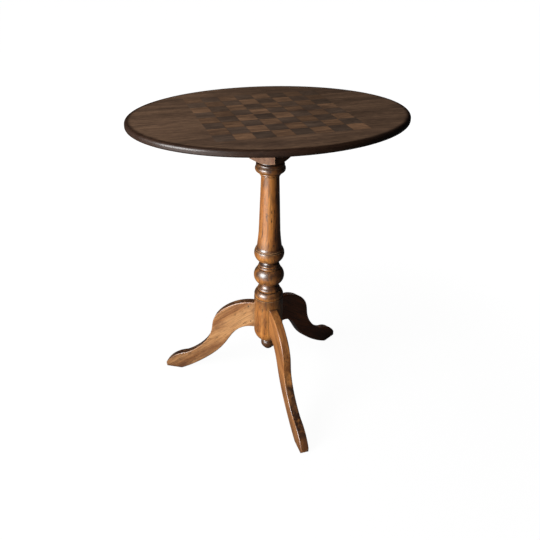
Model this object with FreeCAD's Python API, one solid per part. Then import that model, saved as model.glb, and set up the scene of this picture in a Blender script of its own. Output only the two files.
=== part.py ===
"""Oval tilt-top chess table on a turned pillar with three curved legs.

The model is drawn about the pillar's axis, with X along the long axis of the top, Y towards the back
and the floor at height zero. Each piece is moved by axis_y when it is written, so that the origin is
the middle of the table's footprint.
"""
import math
import os

import FreeCAD
import Part

# Overall sizes
table_height = 725.0
top_length = 620.0
top_depth = 482.0
top_thickness = 14.5
top_upper_round = 6.5
top_lower_round = 4.5
plank_width = 162.0

# Inlaid board
square_side = 40.0
squares_per_side = 8
inlay_thickness = 3.0

# Bearers under the top, across its grain
bearer_length = 360.0
bearer_width = 26.0
bearer_depth = 30.0
bearer_end_depth = 8.0
bearer_taper = 70.0
bearer_scoop = 5.0
bearer_screw_radius = 2.2
bearer_screw_head_radius = 4.5
bearer_screw_bite = 8.0
bearer_screw_places = (-95.0, -10.0, 100.0)

# Tilt block and its pivot
block_width = 150.0
block_front = 75.0
block_depth = 150.0
block_thickness = 28.0
block_edge_round = 6.0
seat_gap = 0.3
pivot_drop = 14.0
pin_radius = 6.0
pin_in_block = 25.0
pin_in_bearer = 20.0
pin_clearance = 0.05
side_clearance = 0.5

# Slide bolt
bolt_radius = 3.5
bolt_length = 60.0
bolt_drop = 8.0
bolt_gap = 2.0
bolt_clearance = 0.05
bolt_chamfer = 0.9
bolt_hole_radius = 4.2
bolt_hole_depth = 14.0
guide_width = 14.0
guide_length = 10.0
guide_wall = 2.0
guide_setback = 4.0
plate_width = 24.0
plate_thickness = 1.6
plate_screw_spread = 8.5
plate_screw_inset = 5.0
knob_setback = 40.0
knob_radius = 5.0
knob_stem_radius = 2.2
knob_stem_length = 7.0
strike_width = 30.0
strike_height = 14.0
strike_thickness = 1.5
strike_screw_spread = 10.5
small_screw_radius = 1.5
small_screw_head_radius = 2.8
small_screw_length = 9.0
screw_slot_width = 0.9
screw_slot_depth = 0.8

# Square head of the pillar
head_side = 68.5
head_height = 62.0
head_turn = 38.0
head_chamfer = 1.5
head_shoulder = 6.0
tenon_radius = 14.0
wedge_width = 3.0
wedge_tip_width = 1.0
wedge_length = 26.0

# Turned pillar, from its lower end upwards
pillar_bottom = 168.0
base_radius = 36.4
base_height = 97.6
torus_height = 18.8
torus_seat_radius = 34.8
torus_radius = 35.9
torus_top_radius = 29.6
bead_height = 8.0
bead_seat_radius = 26.6
bead_radius = 28.2
cove_height = 9.0
neck_radius = 21.0
neck_height = 2.0
ball_height = 43.2
ball_lower_radius = 22.2
ball_radius = 37.2
ball_upper_radius = 28.0
ring_height = 6.4
ring_seat_radius = 26.0
ring_radius = 27.4
fillet_height = 5.2
fillet_seat_radius = 24.4
fillet_radius = 25.4
vase_neck_height = 6.4
vase_neck_radius = 18.8
vase_height = 31.8
vase_radius = 36.2
vase_lip_radius = 34.8
groove_height = 2.0
groove_radius = 32.4
lip_edge_height = 1.2
lip_radius = 33.6
lip_cove_height = 7.0
flare_height = 39.2
flare_lower_radius = 29.9
flare_middle_radius = 28.4
flare_upper_radius = 25.8
shaft_top_radius = 21.0
necking_height = 4.0
necking_radius = 22.2
astragal_height = 6.4
astragal_seat_radius = 23.0
astragal_radius = 25.0
echinus_height = 16.0
echinus_foot_radius = 24.4
echinus_radius = 35.0
echinus_top_radius = 31.8
roll_height = 7.6
roll_radius = 32.8
roll_top_radius = 29.4
capital_neck_height = 4.0
capital_neck_radius = 28.4

# Pendant below the pillar
dome_height = 32.0
dome_shoulder_radius = 32.0
dome_shoulder_drop = 18.0
dome_end_radius = 17.5
collar_height = 4.0
collar_radius = 19.0
knob_seat_radius = 15.5
pendant_knob_radius = 18.3
pendant_knob_height = 22.0
pendant_tip_radius = 12.0
pendant_tip_height = 6.0
pendant_tenon_radius = 9.0
pendant_tenon_length = 30.0

# Legs
front_leg_angle = 270.0
leg_spacing_angle = 120.0
leg_thickness = 20.0
leg_edge_round = 2.2
root_top = 242.0
root_bottom = 169.5
knee = (119.0, 210.0)
shin = (146.0, 171.0)
calf = (151.0, 142.0)
ankle = (193.0, 77.0)
instep = (227.0, 54.0)
pad = (258.0, 40.0)
toe_reach = 288.0
toe_round = 5.0
toe_height = 6.0
toe_undercut = 5.0
heel_reach = 239.0
arch = (174.0, 43.0)
inner_shin = (117.0, 101.0)
inner_knee = (83.0, 151.0)
tongue_depth = 18.0
tongue_neck = 10.0
tongue_end = 15.0
tongue_top_gap = 8.0

# Nails driven through the legs' roots into the pillar
nail_radius = 1.6
nail_length = 42.0
nail_slant = 45.0
nail_places = ((50.0, 231.0), (44.0, 186.0))

# Where the middle of a curved moulding lies, as a share of its width or height
hollow_share = 0.3
torus_share = 0.45
full_share = 0.6
tip_share = 0.7

# Lengths closer than this count as equal
touch = 0.01

# Levels and places that follow from these
underside = table_height - top_thickness
block_top = underside - seat_gap
block_bottom = block_top - block_thickness
head_bottom = block_bottom - head_height
pivot_z = underside - pivot_drop
block_back = block_depth - block_front
swing_radius = pivot_drop - seat_gap
pivot_y = block_back - swing_radius
bearer_x = block_width / 2 + side_clearance
board_side = square_side * squares_per_side
bolt_z = underside - bolt_drop
bolt_tip_y = -block_front - bolt_gap
axis_y = (max(toe_reach, top_depth / 2) - top_depth / 2) / 2
leg_angles = {
    "leg_front": front_leg_angle,
    "leg_right": front_leg_angle + leg_spacing_angle,
    "leg_left": front_leg_angle - leg_spacing_angle,
}

UP = FreeCAD.Vector(0, 0, 1)
CENTRE = FreeCAD.Vector(0, 0, 0)
ALONG_X = FreeCAD.Vector(1, 0, 0)
ALONG_Y = FreeCAD.Vector(0, 1, 0)


def point(x, y, z):
    return FreeCAD.Vector(x, y, z)


def block_between(low, high):
    """Box from its lowest to its highest corner."""
    size = [b - a for a, b in zip(low, high)]
    return Part.makeBox(size[0], size[1], size[2], point(*low))


def turned_about(shape, degrees):
    """Copy of a shape, turned about the pillar's axis."""
    copy = shape.copy()
    copy.rotate(CENTRE, UP, degrees)
    return copy


class Turning:
    """Outline of a turned piece, drawn upwards from its axis as radius and height."""

    def __init__(self, height):
        self.edges = []
        self.start = point(0, 0, height)
        self.at = self.start

    def line(self, radius, rise=0.0):
        end = point(radius, 0, self.at.z + rise)
        self.edges.append(Part.LineSegment(self.at, end).toShape())
        self.at = end
        return self

    def arc(self, middle_radius, middle_rise, radius, rise):
        middle = point(middle_radius, 0, self.at.z + middle_rise)
        end = point(radius, 0, self.at.z + rise)
        self.edges.append(Part.Arc(self.at, middle, end).toShape())
        self.at = end
        return self

    def bead(self, seat_radius, radius, rise):
        """Half-round moulding that starts and ends at its seat, or a hollow if the seat is wider."""
        if abs(self.at.x - seat_radius) > touch:
            self.line(seat_radius)
        return self.arc(radius, rise / 2, seat_radius, rise)

    def cove(self, radius, rise):
        """Hollow that leads in to a neck."""
        middle_radius = radius + (self.at.x - radius) * hollow_share
        return self.arc(middle_radius, rise / 2, radius, rise)

    def solid(self):
        self.line(0)
        self.edges.append(Part.LineSegment(self.at, self.start).toShape())
        return Part.Face(Part.Wire(self.edges)).revolve(CENTRE, UP, 360)


def wood_screw(place, direction, head_radius, shank_radius, length, slot_depth):
    """Countersunk screw that enters at place and points along direction."""
    taper = head_radius - shank_radius
    head = Part.makeCone(head_radius, shank_radius, taper, place, direction)
    shank = Part.makeCylinder(shank_radius, length - taper, place + direction * taper, direction)
    screw = head.fuse(shank).removeSplitter()
    if slot_depth > 0:
        half = screw_slot_width / 2
        slot = block_between((-head_radius, -half, 0), (head_radius, half, slot_depth))
        slot.Placement = FreeCAD.Placement(place, FreeCAD.Rotation(UP, direction)).multiply(slot.Placement)
        screw = screw.cut(slot)
    return screw


def small_screw(place, direction, slot_depth):
    return wood_screw(place, direction, small_screw_head_radius, small_screw_radius,
                      small_screw_length, slot_depth)


def together(shapes):
    return Part.makeCompound(list(shapes))


def without(shape, tools):
    """Shape with every tool cut away, as one solid."""
    return shape.cut(list(tools)).removeSplitter()


def make_bearer_screws(slot_depth=0.0):
    screws = []
    length = bearer_depth + bearer_screw_bite
    for side in (-1, 1):
        x = side * (bearer_x + bearer_width / 2)
        for y in bearer_screw_places:
            start = point(x, y, underside - bearer_depth)
            screws.append(wood_screw(start, UP, bearer_screw_head_radius, bearer_screw_radius,
                                     length, slot_depth))
    return screws


def plate_ends():
    """Front and back ends of the slide bolt's plate."""
    back = bolt_tip_y - guide_setback
    return back - bolt_length + 2 * guide_setback, back


def make_plate_screws(slot_depth=0.0):
    front, back = plate_ends()
    inset = guide_length + plate_screw_inset
    screws = []
    for y in (front + inset, back - inset):
        for x in (-plate_screw_spread, plate_screw_spread):
            screws.append(small_screw(point(x, y, underside - plate_thickness), UP, slot_depth))
    return screws


def make_strike_screws(slot_depth=0.0):
    screws = []
    for x in (-strike_screw_spread, strike_screw_spread):
        screws.append(small_screw(point(x, -block_front, bolt_z), ALONG_Y, slot_depth))
    return screws


def make_planks(screws):
    """Three boards of the oval top, with the board's recess cut in all of them."""
    oval = Part.Ellipse(point(0, 0, underside), top_length / 2, top_depth / 2).toShape()
    slab = Part.Face(Part.Wire([oval])).extrude(point(0, 0, top_thickness))
    rims = [edge for edge in slab.Edges if isinstance(edge.Curve, Part.Ellipse)]
    upper = [edge for edge in rims if edge.CenterOfMass.z > underside + top_thickness / 2]
    slab = slab.makeFillet(top_upper_round, upper)
    rims = [edge for edge in slab.Edges if isinstance(edge.Curve, Part.Ellipse)]
    lower = [edge for edge in rims if edge.CenterOfMass.z < underside + top_lower_round / 2]
    slab = slab.makeFillet(top_lower_round, lower)
    half = board_side / 2
    recess = block_between((-half, -half, table_height - inlay_thickness), (half, half, table_height))
    slab = without(slab, [recess] + screws)
    seam = plank_width / 2
    strips = {"front": (-top_depth, -seam), "middle": (-seam, seam), "back": (seam, top_depth)}
    planks = {}
    for name, (low, high) in strips.items():
        strip = block_between((-top_length, low, 0), (top_length, high, table_height))
        planks["top_plank_" + name] = slab.common(strip)
    return planks


def make_squares():
    """Dark and light squares, with a dark one at the front left corner."""
    squares = {"dark_squares": [], "light_squares": []}
    start = -board_side / 2
    floor = table_height - inlay_thickness
    for column in range(squares_per_side):
        for row in range(squares_per_side):
            name = "light_squares" if (column + row) % 2 else "dark_squares"
            corner = point(start + column * square_side, start + row * square_side, floor)
            squares[name].append(Part.makeBox(square_side, square_side, inlay_thickness, corner))
    return squares


def make_bearer(screws):
    """Right-hand bearer with hollowed ends and a blind hole for its pivot pin."""
    half = bearer_length / 2
    low = underside - bearer_depth
    end_low = underside - bearer_end_depth
    scoop_y = half - bearer_taper / 2
    scoop_z = (low + end_low) / 2 + bearer_scoop
    back = [
        point(bearer_x, half, underside), point(bearer_x, half, end_low),
        point(bearer_x, scoop_y, scoop_z), point(bearer_x, half - bearer_taper, low),
    ]
    front = [point(bearer_x, -p.y, p.z) for p in back]
    edges = [Part.LineSegment(front[i], back[i]).toShape() for i in (0, 3)]
    for end in (front, back):
        edges.append(Part.LineSegment(end[0], end[1]).toShape())
        edges.append(Part.Arc(end[1], end[2], end[3]).toShape())
    outline = Part.Wire(Part.__sortEdges__(edges))
    bearer = Part.Face(outline).extrude(point(bearer_width, 0, 0))
    hole = Part.makeCylinder(pin_radius + pin_clearance, pin_in_bearer + side_clearance,
                             point(bearer_x, pivot_y, pivot_z), ALONG_X)
    return without(bearer, [hole] + screws)


def make_pins():
    start = block_width / 2 - pin_in_block
    length = pin_in_block + side_clearance + pin_in_bearer
    right = Part.makeCylinder(pin_radius, length, point(start, pivot_y, pivot_z), ALONG_X)
    return [right, right.mirror(CENTRE, ALONG_X)]


def make_strike_plate():
    low = (-strike_width / 2, -block_front, bolt_z - strike_height / 2)
    high = (strike_width / 2, strike_thickness - block_front, bolt_z + strike_height / 2)
    hole = Part.makeCylinder(bolt_hole_radius, strike_thickness, point(0, -block_front, bolt_z), ALONG_Y)
    return block_between(low, high).cut(hole)


def make_tilt_block(tools):
    """Block on the pillar's head, round about the pivot at its back so that the top can swing past."""
    half = block_width / 2
    block = block_between((-half, -block_front, block_bottom), (half, block_back, block_top))
    swing_edge = [e for e in block.Edges if e.CenterOfMass.isEqual(point(0, block_back, block_top), touch)]
    block = block.makeFillet(swing_radius, swing_edge)
    lower = [edge for edge in block.Edges if edge.BoundBox.ZMax < block_bottom + touch]
    block = block.makeFillet(block_edge_round, lower)
    tenon = Part.makeCylinder(tenon_radius, block_thickness, point(0, 0, block_bottom), UP)
    bolt_hole_start = point(0, -block_front, bolt_z)
    mortise = Part.makeCylinder(bolt_hole_radius, bolt_hole_depth, bolt_hole_start, ALONG_Y)
    return without(block, [tenon, mortise] + tools)


def make_bolt_plate(screws):
    """Plate with two guides for the bolt, flat against the underside of the top."""
    front, back = plate_ends()
    half = plate_width / 2
    plate = block_between((-half, front, underside - plate_thickness), (half, back, underside))
    low = bolt_z - bolt_radius - guide_wall
    half = guide_width / 2
    for start in (front, back - guide_length):
        guide = block_between((-half, start, low), (half, start + guide_length, underside))
        plate = plate.fuse(guide)
    bolt_end = point(0, bolt_tip_y - bolt_length, bolt_z)
    bore = Part.makeCylinder(bolt_radius + bolt_clearance, bolt_length, bolt_end, ALONG_Y)
    return without(plate, [bore] + screws)


def make_bolt_and_knob():
    bolt_end = point(0, bolt_tip_y - bolt_length, bolt_z)
    bolt = Part.makeCylinder(bolt_radius, bolt_length, bolt_end, ALONG_Y)
    ends = [edge for edge in bolt.Edges if isinstance(edge.Curve, Part.Circle)]
    bolt = bolt.makeChamfer(bolt_chamfer, ends)
    place = point(0, bolt_tip_y - knob_setback, bolt_z)
    stem = Part.makeCylinder(knob_stem_radius, bolt_radius + knob_stem_length, place, UP * -1)
    ball = Part.makeSphere(knob_radius, place - UP * (bolt_radius + knob_stem_length))
    knob = stem.fuse(ball).removeSplitter()
    socket = Part.makeCylinder(knob_stem_radius, 2 * bolt_radius, place, UP * -1)
    return bolt.cut(socket), knob


def make_head():
    """Square block on the pillar's tenon, with the lower ends of its corners turned away."""
    half = head_side / 2
    head = block_between((-half, -half, head_bottom), (half, half, block_bottom))
    foot_radius = half - head_chamfer
    corner_run = half * math.sqrt(2) - foot_radius
    shoulder = Turning(head_bottom).line(foot_radius)
    shoulder.line(foot_radius + 2 * corner_run, 2 * head_shoulder)
    head = head.common(shoulder.line(shoulder.at.x, head_height).solid())
    head = head.cut(Part.makeCylinder(tenon_radius, head_height, point(0, 0, head_bottom), UP))
    return turned_about(head, head_turn)


def make_wedge():
    wide = wedge_width / 2
    narrow = wedge_tip_width / 2
    tip = block_top - wedge_length
    outline = [
        point(-wide, 0, block_top), point(wide, 0, block_top),
        point(narrow, 0, tip), point(-narrow, 0, tip),
    ]
    wedge = Part.Face(Part.makePolygon(outline + outline[:1])).extrude(point(0, 2 * tenon_radius, 0))
    wedge.translate(point(0, -tenon_radius, 0))
    return wedge.common(Part.makeCylinder(tenon_radius, wedge_length, point(0, 0, tip), UP))


def make_pillar(tools):
    """Pillar with drum, ball, vase, tapered shaft and capital, and a tenon through its head."""
    turning = Turning(pillar_bottom).line(base_radius).line(base_radius, base_height)
    turning.line(torus_seat_radius)
    turning.arc(torus_radius, torus_height * torus_share, torus_top_radius, torus_height)
    turning.bead(bead_seat_radius, bead_radius, bead_height)
    turning.cove(neck_radius, cove_height).line(neck_radius, neck_height)
    turning.line(ball_lower_radius).arc(ball_radius, ball_height / 2, ball_upper_radius, ball_height)
    turning.bead(ring_seat_radius, ring_radius, ring_height)
    turning.bead(fillet_seat_radius, fillet_radius, fillet_height)
    turning.cove(vase_neck_radius, vase_neck_height)
    turning.arc(vase_radius, vase_height * full_share, vase_lip_radius, vase_height)
    turning.line(groove_radius).line(groove_radius, groove_height)
    turning.line(lip_radius).line(lip_radius, lip_edge_height)
    turning.cove(flare_lower_radius, lip_cove_height)
    turning.arc(flare_middle_radius, flare_height * hollow_share, flare_upper_radius, flare_height)
    capital = necking_height + astragal_height + echinus_height + roll_height + capital_neck_height
    turning.line(shaft_top_radius, head_bottom - capital - turning.at.z)
    turning.bead(shaft_top_radius, necking_radius, necking_height)
    turning.bead(astragal_seat_radius, astragal_radius, astragal_height)
    turning.line(echinus_foot_radius)
    turning.arc(echinus_radius, echinus_height * full_share, echinus_top_radius, echinus_height)
    turning.arc(roll_radius, roll_height / 2, roll_top_radius, roll_height)
    turning.bead(roll_top_radius, capital_neck_radius, capital_neck_height)
    turning.line(tenon_radius).line(tenon_radius, block_top - head_bottom)
    bore_start = point(0, 0, pillar_bottom)
    bore = Part.makeCylinder(pendant_tenon_radius, pendant_tenon_length, bore_start, UP)
    return without(turning.solid(), [bore] + tools)


def make_pendant():
    """Dome and knob below the pillar, with a tenon up into it."""
    knob_bottom = pillar_bottom - dome_height - collar_height - pendant_knob_height - pendant_tip_height
    turning = Turning(knob_bottom)
    turning.arc(pendant_tip_radius * tip_share, pendant_tip_height * hollow_share,
                pendant_tip_radius, pendant_tip_height)
    turning.arc(pendant_knob_radius, pendant_knob_height * full_share,
                knob_seat_radius, pendant_knob_height)
    turning.bead(dome_end_radius, collar_radius, collar_height)
    turning.arc(dome_shoulder_radius, dome_height - dome_shoulder_drop, base_radius, dome_height)
    turning.line(pendant_tenon_radius).line(pendant_tenon_radius, pendant_tenon_length)
    return turning.solid()


def on_side(place):
    """Point of a leg's outline, given as its reach from the axis and its height."""
    reach, height = place
    return point(reach, 0, height)


def smooth(places):
    curve = Part.BSplineCurve()
    curve.interpolate([on_side(place) for place in places])
    return curve.toShape()


def make_tongue():
    """Dovetail on the root of a leg that points along X."""
    inner = base_radius - tongue_depth
    neck = tongue_neck / 2
    end = tongue_end / 2
    outline = [
        point(base_radius, -neck, root_bottom), point(base_radius, neck, root_bottom),
        point(inner, end, root_bottom), point(inner, -end, root_bottom),
    ]
    height = root_top - tongue_top_gap - root_bottom
    tongue = Part.Face(Part.makePolygon(outline + outline[:1])).extrude(point(0, 0, height))
    return tongue.common(Part.makeCylinder(base_radius, table_height, CENTRE, UP))


def leg_plan():
    """Upright body of a leg's width along X, with a round toe."""
    half = leg_thickness / 2
    shoulder = toe_reach - toe_round
    corners = [
        point(shoulder, half, 0), point(0, half, 0), point(0, -half, 0), point(shoulder, -half, 0),
    ]
    toe = Part.Arc(corners[-1], point(toe_reach, 0, 0), corners[0]).toShape()
    return Part.Face(Part.Wire([Part.makePolygon(corners), toe])).extrude(point(0, 0, table_height))


def make_leg():
    """Leg that points along X, cut from a flat board and coped to the round pillar."""
    inside = base_radius - tongue_depth / 2
    toe_tip = on_side((toe_reach, toe_height))
    sole_end = on_side((toe_reach - toe_undercut, 0))
    heel = (heel_reach, 0)
    outline = [
        smooth([(inside, root_top), knee, shin, calf, ankle, instep]),
        Part.Arc(on_side(instep), on_side(pad), toe_tip).toShape(),
        Part.LineSegment(toe_tip, sole_end).toShape(),
        Part.LineSegment(sole_end, on_side(heel)).toShape(),
        smooth([heel, arch, inner_shin, inner_knee, (inside, root_bottom)]),
        Part.LineSegment(on_side((inside, root_bottom)), on_side((inside, root_top))).toShape(),
    ]
    leg = Part.Face(Part.Wire(outline)).extrude(point(0, leg_thickness, 0))
    leg.translate(point(0, -leg_thickness / 2, 0))
    curved = [edge for edge in leg.Edges if isinstance(edge.Curve, (Part.BSplineCurve, Part.Circle))]
    leg = leg.makeFillet(leg_edge_round, curved).common(leg_plan())
    leg = leg.cut(Part.makeCylinder(base_radius, table_height, CENTRE, UP))
    return leg.fuse(make_tongue()).removeSplitter()


def make_nails():
    """Two nails through the root of a leg that points along X, slanted from its side into the pillar."""
    slant = math.radians(nail_slant)
    inward = point(-math.cos(slant), -math.sin(slant), 0)
    outside = block_between((0, leg_thickness / 2, 0), (table_height, table_height, table_height))
    nails = []
    for reach, height in nail_places:
        start = point(reach, leg_thickness / 2, height) - inward * (2 * nail_radius)
        nails.append(Part.makeCylinder(nail_radius, nail_length, start, inward).cut(outside))
    return nails


def make_stand():
    """Legs, nails, pillar with its sockets, pendant, head and wedge."""
    nails = make_nails()
    leg = without(make_leg(), nails)
    socket = make_tongue()
    socket_mouth = socket.copy()
    socket_mouth.translate(point(0, 0, pillar_bottom - root_bottom))
    wedge = make_wedge()
    pillar_tools = [wedge]
    all_nails = []
    pieces = {}
    for name, angle in leg_angles.items():
        pieces[name] = turned_about(leg, angle)
        turned_nails = [turned_about(nail, angle) for nail in nails]
        pillar_tools += turned_nails
        pillar_tools += [turned_about(tool, angle) for tool in (socket, socket_mouth)]
        all_nails += turned_nails
    pieces["leg_nails"] = together(all_nails)
    pieces["pillar"] = make_pillar(pillar_tools)
    pieces["pendant"] = make_pendant()
    pieces["pillar_head"] = make_head()
    pieces["tenon_wedge"] = wedge
    return pieces


def make_all():
    bearer_screws = make_bearer_screws()
    plate_screws = make_plate_screws()
    strike_screws = make_strike_screws()
    strike_plate = make_strike_plate()
    pins = make_pins()
    right_bearer = make_bearer(bearer_screws)
    bolt, knob = make_bolt_and_knob()
    pieces = make_stand()
    pieces["tilt_block"] = make_tilt_block(pins + [strike_plate] + strike_screws)
    pieces["pivot_pins"] = together(pins)
    pieces["strike_plate"] = without(strike_plate, strike_screws)
    pieces["strike_screws"] = together(make_strike_screws(screw_slot_depth))
    pieces["bearer_right"] = right_bearer
    pieces["bearer_left"] = right_bearer.mirror(CENTRE, ALONG_X)
    pieces["bearer_screws"] = together(make_bearer_screws(screw_slot_depth))
    pieces["bolt_plate"] = make_bolt_plate(plate_screws)
    pieces["bolt_plate_screws"] = together(make_plate_screws(screw_slot_depth))
    pieces["slide_bolt"] = bolt
    pieces["bolt_knob"] = knob
    pieces.update(make_planks(bearer_screws + plate_screws))
    for name, boxes in make_squares().items():
        pieces[name] = together(boxes)
    return pieces


os.makedirs("parts", exist_ok=True)
for node, shape in make_all().items():
    shape.translate(point(0, axis_y, 0))
    shape.exportStep("parts/" + node + ".step")
    print(node, len(shape.Solids), "solids, valid", shape.isValid(), "volume", round(shape.Volume))
print("pillar axis at y", axis_y, "pivot at y", pivot_y + axis_y, "z", pivot_z)
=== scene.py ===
"""Looks of an oval chess table: old wood and metal on its solids, studio light and the camera."""
import math

import bpy
from mathutils import Matrix, Vector


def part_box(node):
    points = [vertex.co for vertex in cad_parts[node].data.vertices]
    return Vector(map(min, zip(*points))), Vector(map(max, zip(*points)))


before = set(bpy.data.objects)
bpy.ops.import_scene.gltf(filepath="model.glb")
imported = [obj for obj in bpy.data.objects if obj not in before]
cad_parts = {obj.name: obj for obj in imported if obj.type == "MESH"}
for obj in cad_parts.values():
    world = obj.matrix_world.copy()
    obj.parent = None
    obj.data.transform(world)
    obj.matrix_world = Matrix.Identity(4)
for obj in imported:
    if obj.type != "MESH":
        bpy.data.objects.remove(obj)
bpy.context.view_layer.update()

# Places on the table, in metres
TOP_LOW, TOP_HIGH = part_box("top_plank_middle")
TOP_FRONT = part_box("top_plank_front")[0].y
TOP_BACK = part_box("top_plank_back")[1].y
TOP_HALF_LENGTH = (TOP_HIGH.x - TOP_LOW.x) / 2
TOP_HALF_DEPTH = (TOP_BACK - TOP_FRONT) / 2
TOP_MIDDLE_X = (TOP_LOW.x + TOP_HIGH.x) / 2
TOP_MIDDLE_Y = (TOP_FRONT + TOP_BACK) / 2
BOARD_LOW = Vector(map(min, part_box("dark_squares")[0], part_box("light_squares")[0]))
BOARD_HIGH = Vector(map(max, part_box("dark_squares")[1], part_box("light_squares")[1]))
SQUARES_PER_SIDE = 8
SQUARE = (BOARD_HIGH.x - BOARD_LOW.x) / SQUARES_PER_SIDE
PILLAR_LOW, PILLAR_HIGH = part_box("pillar")
AXIS = (PILLAR_LOW + PILLAR_HIGH) / 2
AXIS.z = 0.0
HEAD_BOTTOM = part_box("pillar_head")[0].z
PENDANT_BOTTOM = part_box("pendant")[0].z

# Mouldings of the pillar and the pendant
DRUM_HEIGHT = 0.0976
LOWER_TURNING_HEIGHT = 0.136
CAPITAL_HEIGHT = 0.038
GROOVE_BELOW_HEAD = 0.0116
KNOB_HEIGHT = 0.032
DRUM_TOP = PILLAR_LOW.z + DRUM_HEIGHT
LIP_TOP = DRUM_TOP + LOWER_TURNING_HEIGHT
CAPITAL_BOTTOM = HEAD_BOTTOM - CAPITAL_HEIGHT
CAPITAL_GROOVE = HEAD_BOTTOM - GROOVE_BELOW_HEAD
KNOB_TOP = PENDANT_BOTTOM + KNOB_HEIGHT

# Directions of the wood's fibres, and bands per metre along and across them
UPRIGHT = math.radians(90)
ACROSS_TOP = math.radians(90)
HEAD_TURN = math.radians(38)
LEG_SLOPE = math.radians(38)
PLANK_BANDS = (2.6, 26, 26)
SQUARE_BANDS = (9, 60, 60)
STAND_BANDS = (3.0, 30, 30)

# Old polish and painted shade on the pillar, and old polish on the pendant: where they start, end and fade
CAPITAL_CLEAR = 0.008
DRUM_SHADE_DEPTH = 0.035
DRUM_POLISH_AND_SHADE_EDGE = 0.001
SHAFT_POLISH_AND_SHADE_WHOLE = 0.006
SHAFT_POLISH_AND_SHADE_END = 0.03
GROOVE_LINE = 0.0005
GROOVE_FADE = 0.002
KNOB_POLISH_EDGE = 0.002

# Old polish with painted shade, and dirt, on the legs: heights above the floor, and how unevenly they run
ANKLE_LOW = 0.07
ANKLE_HIGH = 0.15
ANKLE_SPREAD = 0.07
TOE_LOW = 0.04
TOE_HIGH = 0.055
TOE_SPREAD = 0.03
LEG_DIRT_TOP = 0.14
NO_DIRT_TOP = 0.001

# Wear and painted shade: reach of painted shade into the wood's corners and grooves and of dirt into the
# metal's grooves, worn edges, and depth of the surface
CORNER_SHADE_REACH = 0.05
GROOVE_REACH = 0.012
FINE_GROOVE_REACH = 0.004
METAL_GROOVE_REACH = 0.003
EDGE_RADIUS = 0.003
WEAR_FADE = 0.003
DRUM_WEAR_START = 0.004
BELOW_FLOOR = -0.01
FIBRE_DEPTH = 0.0004
WOBBLE_DEPTH = 0.002
SCRATCH_DEPTH = 0.0001

# Rim of the top: shares of the oval's reach, and drop below the flat
RIM_START = 0.95
RIM_WHOLE = 0.985
RIM_SHINE_START = 0.0001
RIM_SHINE_WHOLE = 0.002

# Seams round the squares: shares of a square from its middle
SEAM_START = 0.488
SEAM_WHOLE = 0.499

# Camera: the photograph's frame is square
FRAME_PIXELS = 540
FOCAL_PIXELS = 619.4
SENSOR_MILLIMETRES = 36.0
CAMERA_DISTANCE = 1.3177
CAMERA_HEIGHT = 1.0912
CAMERA_SIDE = 0.0024
CAMERA_YAW = math.radians(18.41)
CAMERA_PITCH = math.radians(29.77)
CAMERA_ROLL = math.radians(0.83)

# Light: one large window to the left of the camera, and a low weak one behind the table
LIGHT_DISTANCE = 3.0
KEY_AZIMUTH = math.radians(51)
KEY_ELEVATION = math.radians(20)
KEY_SIZE = 1.7
KEY_POWER = 175.0
BACK_AZIMUTH = math.radians(180)
BACK_ELEVATION = 0.0
BACK_HEIGHT = 0.3
BACK_WIDTH = 1.2
BACK_DEPTH = 0.6
BACK_POWER = 90.0
FILL_STRENGTH = 0.045

# Floor and surroundings: how white they look, and how much of that shows in the polish
FLOOR_HALF = 15.0
FLOOR_BOUNCE = 0.05
FLOOR_NEAR_GLOW = 0.96
FLOOR_NEAR = 0.55
FLOOR_FAR = 1.3
GLOSSY_SHARE = 0.01

# Sector of the floor on the window's side, which shows brighter in the polish
GLOW_AZIMUTH = math.radians(42)
GLOW_INNER = math.cos(math.radians(8))
GLOW_OUTER = math.cos(math.radians(36))
GLOW_SHARE = 1.5
GLOW_FROM = 0.5
GLOW_WHOLE = 0.85


def srgb(red, green, blue):
    """Linear colour from the usual 0 to 255 values."""
    def linear(value):
        share = value / 255
        return share / 12.92 if share <= 0.04045 else ((share + 0.055) / 1.055) ** 2.4
    return (linear(red), linear(green), linear(blue), 1)


# Colours of dirt, polish and wear; some also paint shade in corners, in grooves, on the pillar, on the legs
# and on the rim
WHITE = (1, 1, 1, 1)
UMBER = srgb(26, 15, 9)
# Grime, and painted shade in corners.
GRIME_AND_SHADE = srgb(74, 42, 22)
# Dirt and painted shade in the grooves.
GROOVE_DIRT_AND_SHADE = srgb(34, 18, 9)
STAIN = srgb(110, 60, 24)
# Old polish; on the pillar and the legs it also paints shade.
OLD_POLISH_AND_SHADE = srgb(52, 31, 20)
PALE_WEAR = srgb(222, 176, 128)
# Old polish and painted shade on the rounded rim.
RIM_POLISH_AND_SHADE = srgb(30, 12, 5)
WAX_DIRT = srgb(56, 40, 32)
PALE_SCRATCH = srgb(150, 122, 100)

# Colours of wood and metal: a light and a dark shade of each, and what the squares fade to
PLANK = srgb(138, 107, 84)
PLANK_DARK = srgb(101, 78, 62)
LIGHT_SQUARE = srgb(158, 119, 89)
LIGHT_SQUARE_DARK = srgb(115, 87, 67)
DARK_SQUARE = srgb(115, 94, 79)
DARK_SQUARE_DARK = srgb(88, 71, 60)
FADED_SQUARE = srgb(114, 88, 68)
HONEY = srgb(218, 149, 76)
HONEY_DARK = srgb(170, 102, 42)
TAN = srgb(208, 156, 104)
TAN_DARK = srgb(160, 106, 60)
AMBER = srgb(200, 134, 72)
AMBER_DARK = srgb(146, 86, 38)
# Painted shade: a darker, redder copy of the legs' wood, for the leg turned away from the window.
SHADED_RUSSET = srgb(190, 106, 44)
SHADED_RUSSET_DARK = srgb(128, 64, 22)
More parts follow.
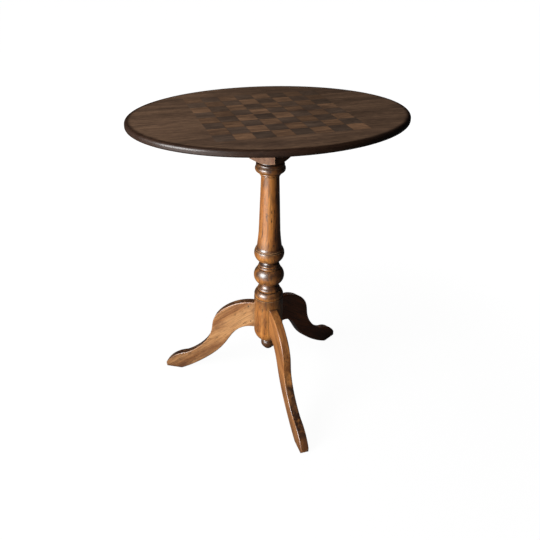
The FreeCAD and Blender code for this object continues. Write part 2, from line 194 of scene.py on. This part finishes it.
# The head block's wood: a dusty, muted tone, and painted shade of the top above it.
DUSTY_AND_SHADED = srgb(154, 110, 78)
DUSTY_AND_SHADED_DARK = srgb(120, 80, 52)
BARE = srgb(124, 88, 58)
BARE_DARK = srgb(86, 58, 38)
BRASS = srgb(196, 150, 78)
BRASS_DARK = srgb(112, 82, 42)
IRON = srgb(96, 90, 84)
IRON_DARK = srgb(52, 44, 38)

# Shine of the polished wood
COAT = 0.9
THIN_COAT = 0.2
WORN_COAT = 0.1
RIM_COAT = 0.45
STAND_SHINE = 0.7
TOP_SHINE = 0.3


class Nodes:
    """A node tree under construction, with short ways to add to it."""

    def __init__(self, tree):
        self.tree = tree

    def add(self, kind, inputs=None, **settings):
        node = self.tree.nodes.new(kind)
        for key, value in settings.items():
            setattr(node, key, value)
        for key, value in (inputs or {}).items():
            self.put(node.inputs[key], value)
        return node

    def put(self, socket, value):
        """Links a socket to value, or gives it value as a constant."""
        if isinstance(value, bpy.types.NodeSocket):
            self.tree.links.new(value, socket)
        else:
            socket.default_value = value

    def combine(self, operation, first, second):
        return self.add("ShaderNodeMath", {0: first, 1: second}, operation=operation).outputs[0]

    def times(self, *values):
        product = values[0]
        for value in values[1:]:
            product = self.combine("MULTIPLY", product, value)
        return product

    def larger(self, *values):
        largest = values[0]
        for value in values[1:]:
            largest = self.combine("MAXIMUM", largest, value)
        return largest

    def size(self, value):
        """Value without its sign."""
        return self.combine("ABSOLUTE", value, 0.0)

    def rest(self, share):
        """What share leaves of 1."""
        return self.combine("SUBTRACT", 1.0, share)

    def vector(self, operation, *values):
        """Result of a vector operation: a number for a length or a dot product."""
        node = self.add("ShaderNodeVectorMath", dict(enumerate(values)), operation=operation)
        return node.outputs["Value" if operation in ("LENGTH", "DOT_PRODUCT") else "Vector"]


class Finish(Nodes):
    """A material under construction."""

    def __init__(self, name):
        self.material = bpy.data.materials.new(name)
        self.material.use_nodes = True
        super().__init__(self.material.node_tree)
        self.tree.nodes.clear()
        self.shader = self.add("ShaderNodeBsdfPrincipled")
        self.add("ShaderNodeOutputMaterial", {"Surface": self.shader.outputs[0]})

    def set(self, **values):
        """Sets or links the shader's own sockets."""
        for key, value in values.items():
            self.put(self.shader.inputs[key.replace("_", " ")], value)

    def place(self):
        return self.add("ShaderNodeTexCoord").outputs["Object"]

    def axis(self, vector, number):
        return self.add("ShaderNodeSeparateXYZ", {0: vector}).outputs[number]

    def level(self):
        """Height above the floor."""
        return self.axis(self.place(), 2)

    def normal(self):
        return self.add("ShaderNodeNewGeometry").outputs["Normal"]

    def mapped(self, vector, scale=(1, 1, 1), turn=(0, 0, 0), shift=(0, 0, 0)):
        inputs = {"Vector": vector, "Scale": scale, "Rotation": turn, "Location": shift}
        return self.add("ShaderNodeMapping", inputs).outputs[0]

    def noise(self, vector, scale, detail=2.0, roughness=0.5, distortion=0.0):
        inputs = {"Vector": self.mapped(vector, scale), "Scale": 1.0, "Detail": detail,
                  "Roughness": roughness, "Distortion": distortion}
        return self.add("ShaderNodeTexNoise", inputs).outputs["Fac"]

    def span(self, value, low, high, to_low=0.0, to_high=1.0):
        """Smooth step from to_low to to_high as value goes from low to high."""
        inputs = {"Value": value, "From Min": low, "From Max": high, "To Min": to_low, "To Max": to_high}
        return self.add("ShaderNodeMapRange", inputs, interpolation_type="SMOOTHSTEP").outputs[0]

    def mix(self, share, first, second, blend="MIX"):
        node = self.add("ShaderNodeMix", data_type="RGBA", blend_type=blend, clamp_result=True)
        for key, value in ((0, share), (6, first), (7, second)):
            self.put(node.inputs[key], value)
        return node.outputs[2]

    def shaded(self, colour, brightness):
        """Colour times brightness."""
        channels = {0: brightness, 1: brightness, 2: brightness}
        grey = self.add("ShaderNodeCombineColor", channels).outputs[0]
        return self.mix(1.0, colour, grey, "MULTIPLY")

    def crevice(self, distance, low, high):
        """1 in grooves and inner corners, 0 on open faces."""
        open_sky = self.add("ShaderNodeAmbientOcclusion", {"Distance": distance}, samples=8)
        return self.span(open_sky.outputs["AO"], low, high, 1.0, 0.0)

    def worn_edge(self, radius, low, high):
        """1 on sharp edges, 0 on faces."""
        rounded = self.add("ShaderNodeBevel", {"Radius": radius}, samples=6).outputs[0]
        return self.span(self.vector("DOT_PRODUCT", rounded, self.normal()), low, high, 1.0, 0.0)

    def bump(self, height, strength, distance, normal=None):
        inputs = {"Height": height, "Strength": strength, "Distance": distance}
        if normal is not None:
            inputs["Normal"] = normal
        return self.add("ShaderNodeBump", inputs).outputs[0]


def along_fibres(finish, angle, slope, shift):
    """Place in the wood, with X along fibres that run out from the pillar at angle and fall by slope."""
    centred = finish.mapped(finish.place(), shift=tuple(-AXIS))
    outwards = finish.mapped(centred, turn=(0, 0, -angle))
    return finish.mapped(outwards, turn=(0, -slope, 0), shift=(shift, 0, 0))


def grain(finish, vector, light, dark, band_scale):
    """Colour and height of plain wood whose fibres run along X of vector."""
    bands = finish.noise(vector, band_scale, detail=5.0, roughness=0.6, distortion=0.4)
    streaks = finish.noise(vector, (6, 210, 210), detail=4.0, roughness=0.7)
    fibres = finish.noise(vector, (22, 1000, 1000), detail=2.0)
    pores = finish.span(finish.noise(vector, (60, 1300, 1300), detail=1.0), 0.62, 0.72)
    tone = finish.combine("ADD", finish.times(bands, 0.6), finish.times(streaks, 0.4))
    colour = finish.mix(finish.span(tone, 0.37, 0.63), dark, light)
    colour = finish.shaded(colour, finish.span(fibres, 0.3, 0.7, 0.88, 1.06))
    colour = finish.mix(finish.times(pores, 0.4), colour, UMBER)
    height = finish.combine("SUBTRACT", finish.times(fibres, 0.5), pores)
    return colour, height


def top_finish(finish, place, colour, height):
    """Hazy worn wax that the boards and the squares of the top share."""
    patches = finish.noise(place, (8, 15, 15), detail=5.0, roughness=0.62)
    colour = finish.mix(finish.span(patches, 0.47, 0.75, 0.0, 0.5), colour, WAX_DIRT)
    speckle = finish.noise(place, (45, 260, 260), detail=4.0, roughness=0.75)
    colour = finish.shaded(colour, finish.span(speckle, 0.3, 0.7, 0.68, 1.26))
    scratches = finish.noise(place, (14, 420, 420), detail=2.0, distortion=0.6)
    colour = finish.mix(finish.span(scratches, 0.68, 0.78, 0.0, 0.22), colour, PALE_SCRATCH)
    rough = finish.span(patches, 0.3, 0.7, 0.42, 0.58)
    finish.set(Base_Color=colour, Roughness=rough, Specular_IOR_Level=TOP_SHINE,
               Normal=finish.bump(height, 0.25, FIBRE_DEPTH))


def top_wood(name, shift):
    """Dark board of the top, with the grain along X and a rim darkened by old polish and painted shade, which
    shines at its side.
    """
    finish = Finish(name)
    place = finish.place()
    vector = finish.mapped(place, shift=shift)
    colour, height = grain(finish, vector, PLANK, PLANK_DARK, PLANK_BANDS)
    oval = finish.mapped(place, (1 / TOP_HALF_LENGTH, 1 / TOP_HALF_DEPTH, 0),
                         shift=(-TOP_MIDDLE_X / TOP_HALF_LENGTH, -TOP_MIDDLE_Y / TOP_HALF_DEPTH, 0))
    rim = finish.span(finish.vector("LENGTH", oval), RIM_START, RIM_WHOLE)
    below_flat = finish.span(finish.axis(place, 2), TOP_HIGH.z - RIM_SHINE_WHOLE,
                             TOP_HIGH.z - RIM_SHINE_START, 1.0, 0.0)
    # Old polish and painted shade: the rim darker.
    colour = finish.mix(finish.times(rim, 0.92), colour, RIM_POLISH_AND_SHADE)
    finish.set(Coat_Weight=finish.times(rim, below_flat, RIM_COAT), Coat_Roughness=0.25)
    top_finish(finish, vector, colour, height)
    return finish.material


def square_wood(name, light, dark, contrast):
    """Inlaid squares: each is its own piece of wood, with a dark hairline of glue round it."""
    finish = Finish(name)
    place = finish.place()
    cell_place = finish.mapped(place, (1 / SQUARE, 1 / SQUARE, 0),
                               shift=(-BOARD_LOW.x / SQUARE, -BOARD_LOW.y / SQUARE, 0))
    cell = finish.vector("FLOOR", cell_place)
    chance = finish.add("ShaderNodeTexWhiteNoise", {"Vector": cell}, noise_dimensions="3D").outputs
    own_place = finish.vector("ADD", chance["Color"], place)
    colour, height = grain(finish, own_place, light, dark, SQUARE_BANDS)
    colour = finish.shaded(colour, finish.span(chance["Value"], 0.0, 1.0, 1 - contrast, 1 + contrast))
    fading = finish.span(finish.axis(place, 1), BOARD_LOW.y, BOARD_HIGH.y, 0.0, 0.3)
    colour = finish.mix(fading, colour, FADED_SQUARE)
    from_middle = finish.vector("SUBTRACT", finish.vector("FRACTION", cell_place), (0.5, 0.5, 0.5))
    out = finish.vector("ABSOLUTE", from_middle)
    seam = finish.span(finish.larger(finish.axis(out, 0), finish.axis(out, 1)), SEAM_START, SEAM_WHOLE)
    colour = finish.mix(finish.times(seam, 0.6), colour, UMBER)
    top_finish(finish, place, colour, finish.combine("SUBTRACT", height, finish.times(seam, 2.0)))
    return finish.material


def pillar_polish_and_shade(finish):
    """Share of dark colour on the pillar: old polish with painted shade up the capital and on the upper side
    of the mouldings, stain with painted shade up the drum, smudges, and a painted shade line in the groove
    under the head.
    """
    height = finish.level()
    blotches = finish.span(finish.noise(finish.place(), (60, 60, 60), detail=4.0), 0.3, 0.6, 0.55, 1.0)
    # Old polish, and painted shade where the top shadows the capital.
    up_capital = finish.span(height, CAPITAL_BOTTOM + CAPITAL_CLEAR, CAPITAL_GROOVE)
    capital = finish.times(up_capital, blotches, 0.9)
    above_drum = finish.span(height, DRUM_TOP - DRUM_POLISH_AND_SHADE_EDGE, DRUM_TOP + DRUM_POLISH_AND_SHADE_EDGE)
    below_shaft = finish.span(height, LIP_TOP + SHAFT_POLISH_AND_SHADE_WHOLE, LIP_TOP + SHAFT_POLISH_AND_SHADE_END, 1.0, 0.0)
    # Old polish, and painted shade: the upward-facing sides of the mouldings darker.
    upwards = finish.span(finish.axis(finish.normal(), 2), -0.25, 0.4)
    mouldings = finish.times(above_drum, below_shaft, upwards, blotches, 0.9)
    # Stain on the drum, with painted shade darker up to the torus above it.
    up_drum = finish.span(height, DRUM_TOP - DRUM_SHADE_DEPTH, DRUM_TOP, 0.2, 0.75)
    drum = finish.times(up_drum, blotches, blotches, finish.rest(above_drum))
    smudges = finish.noise(finish.place(), (75, 75, 20), detail=5.0, roughness=0.7)
    smudges = finish.span(smudges, 0.5, 0.68, 0.0, 0.6)
    # Painted shade: a dark line in the groove under the head.
    from_groove = finish.size(finish.combine("SUBTRACT", height, CAPITAL_GROOVE))
    groove = finish.span(from_groove, GROOVE_LINE, GROOVE_FADE, 1.0, 0.0)
    return finish.larger(capital, mouldings, drum, smudges, groove)


def knob_polish(finish):
    """Share of dark old polish on the pendant: all over its knob."""
    return finish.span(finish.level(), KNOB_TOP - KNOB_POLISH_EDGE, KNOB_TOP + KNOB_POLISH_EDGE, 0.9, 0.0)


def leg_polish_and_shade(angle, root_share):
    """Share of dark colour on a leg's narrow sides: old polish, and painted shade on the dim upper side.

    It is root_share at the root, whole at the ankle, and worn thin at the toe.
    """
    across = (-math.sin(angle), math.cos(angle), 0)

    def share(finish):
        to_side = finish.size(finish.vector("DOT_PRODUCT", finish.normal(), across))
        # Painted shade with the polish: the narrow sides, among them the dim upper side, darker.
        narrow = finish.span(to_side, 0.3, 0.8, 1.0, 0.0)
        spread = finish.noise(finish.place(), (26, 26, 26), detail=4.0)
        height = finish.level()
        ankle = finish.combine("ADD", height, finish.span(spread, 0.2, 0.8, -ANKLE_SPREAD, ANKLE_SPREAD))
        low = finish.span(ankle, ANKLE_LOW, ANKLE_HIGH, 1.0, root_share)
        toe = finish.combine("ADD", height, finish.times(spread, TOE_SPREAD))
        unworn = finish.span(toe, TOE_LOW, TOE_HIGH, 0.3, 1.0)
        patches = finish.noise(finish.place(), (75, 75, 75), detail=5.0, roughness=0.65)
        return finish.times(narrow, low, unworn, finish.span(patches, 0.36, 0.52, 0.45, 1.0))
    return share


def aged(finish, vector, colour, patches, pits):
    """Colour with stains, dark lines, cracks and flecks along the fibres, and the share of flecks."""
    colour = finish.mix(finish.span(patches, 0.44, 0.7, 0.0, 0.65), colour, STAIN)
    lines = finish.noise(vector, (7, 280, 280), detail=3.0, roughness=0.6)
    colour = finish.mix(finish.span(lines, 0.5, 0.68, 0.0, 0.5), colour, GRIME_AND_SHADE)
    cracks = finish.span(finish.noise(vector, (42, 300, 300), detail=5.0, roughness=0.75), 0.53, 0.64)
    cracks = finish.times(cracks, finish.span(finish.noise(vector, (12, 40, 40)), 0.42, 0.6, 0.15, 1.0))
    colour = finish.mix(finish.times(cracks, 0.8), colour, UMBER)
    flecks = finish.span(finish.noise(vector, (70, 240, 240), detail=3.0, roughness=0.6), pits, pits + 0.06)
    flecks = finish.times(flecks, finish.span(finish.noise(vector, (14, 36, 36)), pits - 0.14, pits - 0.04))
    return finish.mix(finish.times(flecks, 0.8), colour, UMBER), flecks


def soiled_and_shaded(finish, colour, patches, dirt_top):
    """Colour with painted shade in the corners, patchy like grime, and dirt from the floor up to dirt_top."""
    # Painted shade: darker in inner corners, such as where the legs meet the drum.
    grime = finish.times(finish.crevice(CORNER_SHADE_REACH, 0.45, 0.95), finish.span(patches, 0.3, 0.6, 0.45, 0.95))
    dirt = finish.times(finish.span(finish.level(), 0.0, dirt_top, 0.75, 0.0),
                        finish.span(patches, 0.3, 0.6, 0.4, 1.0))
    return finish.mix(finish.larger(grime, dirt), colour, GRIME_AND_SHADE)


def rubbed_and_groove_shaded(finish, colour, wear, wear_from):
    """Colour with pale worn edges above wear_from, and grooves darkened by dirt and painted shade."""
    # Dirt and painted shade: darker in the grooves.
    grooves = finish.larger(finish.crevice(GROOVE_REACH, 0.35, 0.75),
                            finish.crevice(FINE_GROOVE_REACH, 0.5, 0.85))
    edges = finish.times(finish.worn_edge(EDGE_RADIUS, 0.82, 0.98), finish.rest(grooves), wear,
                         finish.span(finish.level(), wear_from, wear_from + WEAR_FADE))
    colour = finish.mix(edges, colour, PALE_WEAR)
    return finish.mix(finish.times(grooves, 0.8), colour, GROOVE_DIRT_AND_SHADE)


def stand_wood(name, angle=0.0, slope=0.0, shift=0.0, light=HONEY, dark=HONEY_DARK, wear=0.7, polish=None,
               dirt_top=NO_DIRT_TOP, wear_from=BELOW_FLOOR, coat=COAT, pits=0.62, rough_from=0.34):
    """Polished wood of the stand: dark in the grooves, pale on worn edges.

    polish gives the share of old polish, which on the pillar and the legs also paints shade. A higher pits
    leaves fewer flecks.
    """
    finish = Finish(name)
    finish.set(Coat_Weight=coat, Coat_Roughness=0.3, Specular_IOR_Level=STAND_SHINE)
    vector = along_fibres(finish, angle, slope, shift)
    patches = finish.noise(vector, (11, 34, 34), detail=5.0, roughness=0.68)
    rough = finish.span(patches, 0.3, 0.7, rough_from, rough_from + 0.12)
    colour, height = grain(finish, vector, light, dark, STAND_BANDS)
    colour, flecks = aged(finish, vector, colour, patches, pits)
    colour = soiled_and_shaded(finish, colour, patches, dirt_top)
    if polish is not None:
        share = polish(finish)
        # The polish colour also paints shade on the pillar and the legs.
        colour = finish.mix(share, colour, OLD_POLISH_AND_SHADE)
        rough = finish.combine("SUBTRACT", rough, finish.times(share, 0.05))
        finish.set(Coat_Weight=finish.span(share, 0.0, 1.0, coat, 1.0))
    colour = rubbed_and_groove_shaded(finish, colour, wear, wear_from)
    height = finish.combine("SUBTRACT", height, finish.times(flecks, 2.0))
    wobble = finish.bump(finish.noise(vector, (20, 50, 50)), 0.08, WOBBLE_DEPTH)
    finish.set(Base_Color=colour, Roughness=rough, Normal=finish.bump(height, 0.25, FIBRE_DEPTH, wobble))
    return finish.material


def metal(name, bright, dull, roughness):
    """Old metal: tarnish in patches and fine scratches."""
    finish = Finish(name)
    place = finish.place()
    tarnish = finish.noise(place, (90, 90, 90), detail=5.0, roughness=0.65)
    scratches = finish.noise(place, (1800, 160, 1800), detail=2.0)
    colour = finish.mix(finish.span(tarnish, 0.35, 0.65), bright, dull)
    colour = finish.mix(finish.times(finish.crevice(METAL_GROOVE_REACH, 0.4, 0.85), 0.7), colour, UMBER)
    rough = finish.span(tarnish, 0.3, 0.7, roughness, roughness + 0.2)
    finish.set(Base_Color=colour, Metallic=1.0, Roughness=rough,
               Normal=finish.bump(scratches, 0.15, SCRATCH_DEPTH))
    return finish.material


def dress(node, material):
    """Gives a solid its material."""
    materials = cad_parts[node].data.materials
    materials.clear()
    materials.append(material)


def dress_top():
    """Planks cut from three places of the wood, and the board."""
    plank_shifts = {"front": (0.0, 0.0, 0.0), "middle": (0.37, 0.61, 0.0), "back": (0.74, 1.22, 0.0)}
    for plank, shift in plank_shifts.items():
        dress("top_plank_" + plank, top_wood("top_wood_" + plank, shift))
    dress("light_squares", square_wood("light_square_wood", LIGHT_SQUARE, LIGHT_SQUARE_DARK, contrast=0.22))
    dress("dark_squares", square_wood("dark_square_wood", DARK_SQUARE, DARK_SQUARE_DARK, contrast=0.18))


def dress_stand():
    """Pillar, pendant, head block and legs."""
    dress("pillar", stand_wood("pillar_wood", slope=UPRIGHT, polish=pillar_polish_and_shade,
                               wear_from=PILLAR_LOW.z + DRUM_WEAR_START, pits=0.58))
    dress("pendant", stand_wood("pendant_wood", slope=UPRIGHT, polish=knob_polish, wear=0.0))
    # The head block's darker, muted wood is partly painted shade of the top.
    dress("pillar_head", stand_wood("head_wood", HEAD_TURN, shift=0.5, light=DUSTY_AND_SHADED, dark=DUSTY_AND_SHADED_DARK,
                                    wear=0.4, coat=WORN_COAT, rough_from=0.6))
    # Each leg's name, direction in degrees, shift along the wood, shades, polish and painted shade at the
    # root, and coat
    legs = (("front", 270, 2.7, AMBER, AMBER_DARK, 0.2, COAT),
            # The right leg's darker, redder wood is painted shade.
            ("right", 30, 0.3, SHADED_RUSSET, SHADED_RUSSET_DARK, 0.8, THIN_COAT),
            ("left", 150, 1.5, TAN, TAN_DARK, 0.85, COAT))
    for name, degrees, shift, light, dark, root_share, coat in legs:
        angle = math.radians(degrees)
        material = stand_wood("leg_wood_" + name, angle, LEG_SLOPE, shift, light, dark, coat=coat, pits=0.67,
                              polish=leg_polish_and_shade(angle, root_share), dirt_top=LEG_DIRT_TOP)
        dress("leg_" + name, material)


def dress_underside():
    """Plain unpolished pieces under the top."""
    fibres = {"bearer_left": (ACROSS_TOP, 0.0), "bearer_right": (ACROSS_TOP, 0.0),
              "tilt_block": (0.0, 0.0), "tenon_wedge": (0.0, UPRIGHT)}
    for node, (angle, slope) in fibres.items():
        dress(node, stand_wood(node + "_wood", angle, slope, light=BARE, dark=BARE_DARK, wear=0.3, coat=0.0,
                               rough_from=0.55))


def dress_metal():
    """Brass lock, and iron pins, screws and nails."""
    brass = metal("old_brass", BRASS, BRASS_DARK, roughness=0.28)
    iron = metal("old_iron", IRON, IRON_DARK, roughness=0.4)
    lock = ("bolt_plate", "bolt_plate_screws", "slide_bolt", "bolt_knob", "strike_plate", "strike_screws")
    for node in lock:
        dress(node, brass)
    for node in ("pivot_pins", "bearer_screws", "leg_nails"):
        dress(node, iron)


def from_camera_side(across, away):
    """Direction in plan, given across the camera's view and away from it."""
    cosine, sine = math.cos(CAMERA_YAW), math.sin(CAMERA_YAW)
    return Vector((across * cosine + away * sine, away * cosine - across * sine, 0))


def towards(azimuth):
    """Direction in plan from the table to azimuth, counted to the left from the camera."""
    return from_camera_side(-math.sin(azimuth), -math.cos(azimuth))


def seen_by_eye(nodes, mirrored=GLOSSY_SHARE):
    """1 for the camera and through glass, mirrored for mirrors, 0 for light that reaches the object."""
    rays = nodes.add("ShaderNodeLightPath").outputs
    return nodes.larger(rays["Is Camera Ray"], rays["Is Transmission Ray"],
                        nodes.times(rays["Is Glossy Ray"], mirrored))


def make_floor():
    """Pale floor that looks white and keeps the table's shadow."""
    corners = [(-FLOOR_HALF, -FLOOR_HALF, 0), (FLOOR_HALF, -FLOOR_HALF, 0),
               (FLOOR_HALF, FLOOR_HALF, 0), (-FLOOR_HALF, FLOOR_HALF, 0)]
    mesh = bpy.data.meshes.new("floor")
    mesh.from_pydata(corners, [], [(0, 1, 2, 3)])
    floor = bpy.data.objects.new("floor", mesh)
    bpy.context.scene.collection.objects.link(floor)
    finish = Finish("floor")
    distance = finish.vector("LENGTH", finish.place())
    glow = finish.span(distance, FLOOR_NEAR, FLOOR_FAR, FLOOR_NEAR_GLOW, 1.0)
    outwards = finish.vector("NORMALIZE", finish.mapped(finish.place(), shift=tuple(-AXIS)))
    facing = finish.vector("DOT_PRODUCT", outwards, tuple(towards(GLOW_AZIMUTH)))
    sector = finish.span(facing, GLOW_OUTER, GLOW_INNER)
    mirrored = finish.times(sector, finish.span(distance, GLOW_FROM, GLOW_WHOLE), GLOW_SHARE)
    strength = finish.times(seen_by_eye(finish, finish.larger(mirrored, GLOSSY_SHARE)), glow)
    finish.set(Base_Color=(FLOOR_BOUNCE, FLOOR_BOUNCE, FLOOR_BOUNCE, 1), Roughness=1.0,
               Specular_IOR_Level=0.0, Emission_Color=WHITE, Emission_Strength=strength)
    mesh.materials.append(finish.material)


def make_world():
    """Surroundings that look white, and a weak even fill light that the polish doesn't mirror."""
    world = bpy.data.worlds.new("studio")
    world.use_nodes = True
    nodes = Nodes(world.node_tree)
    rays = nodes.add("ShaderNodeLightPath").outputs
    fill = nodes.add("ShaderNodeMapRange",
                     {"Value": rays["Is Glossy Ray"], "To Min": FILL_STRENGTH, "To Max": 0.0})
    strength = nodes.add("ShaderNodeMapRange", {"Value": seen_by_eye(nodes), "To Min": fill.outputs[0]})
    background = world.node_tree.nodes["Background"]
    nodes.put(background.inputs["Color"], WHITE)
    nodes.put(background.inputs["Strength"], strength.outputs[0])
    bpy.context.scene.world = world


def make_light(name, azimuth, elevation, aim_height, width, depth, power):
    """Window that shines on the pillar at aim_height."""
    data = bpy.data.lights.new(name, "AREA")
    data.shape = "RECTANGLE"
    data.size = width
    data.size_y = depth
    data.energy = power
    light = bpy.data.objects.new(name, data)
    direction = towards(azimuth) * math.cos(elevation) + Vector((0, 0, math.sin(elevation)))
    light.location = AXIS + Vector((0, 0, aim_height)) + direction * LIGHT_DISTANCE
    light.rotation_euler = direction.to_track_quat("Z", "Y").to_euler()
    light.visible_camera = False
    bpy.context.scene.collection.objects.link(light)
    return light


def make_lights():
    """The large window, and the weak one behind, which the polish doesn't mirror."""
    make_light("window", KEY_AZIMUTH, KEY_ELEVATION, TOP_HIGH.z / 2, KEY_SIZE, KEY_SIZE, KEY_POWER)
    back = make_light("far_window", BACK_AZIMUTH, BACK_ELEVATION, BACK_HEIGHT, BACK_WIDTH, BACK_DEPTH,
                      BACK_POWER)
    back.visible_glossy = False


def make_camera():
    """Camera at the photograph's place."""
    data = bpy.data.cameras.new("camera")
    data.sensor_width = SENSOR_MILLIMETRES
    data.lens = FOCAL_PIXELS / FRAME_PIXELS * SENSOR_MILLIMETRES
    camera = bpy.data.objects.new("camera", data)
    across = from_camera_side(1, 0)
    ahead = from_camera_side(0, 1)
    forward = ahead * math.cos(CAMERA_PITCH) - Vector((0, 0, math.sin(CAMERA_PITCH)))
    upright = across.cross(forward)
    right = across * math.cos(CAMERA_ROLL) + upright * math.sin(CAMERA_ROLL)
    up = upright * math.cos(CAMERA_ROLL) - across * math.sin(CAMERA_ROLL)
    matrix = Matrix((right, up, -forward)).transposed().to_4x4()
    stand = AXIS + from_camera_side(CAMERA_SIDE, -CAMERA_DISTANCE)
    matrix.translation = stand + Vector((0, 0, CAMERA_HEIGHT))
    camera.matrix_world = matrix
    bpy.context.scene.collection.objects.link(camera)
    bpy.context.scene.camera = camera


dress_top()
dress_stand()
dress_underside()
dress_metal()
make_floor()
make_world()
make_lights()
make_camera()
bpy.context.scene.view_settings.view_transform = "Standard"
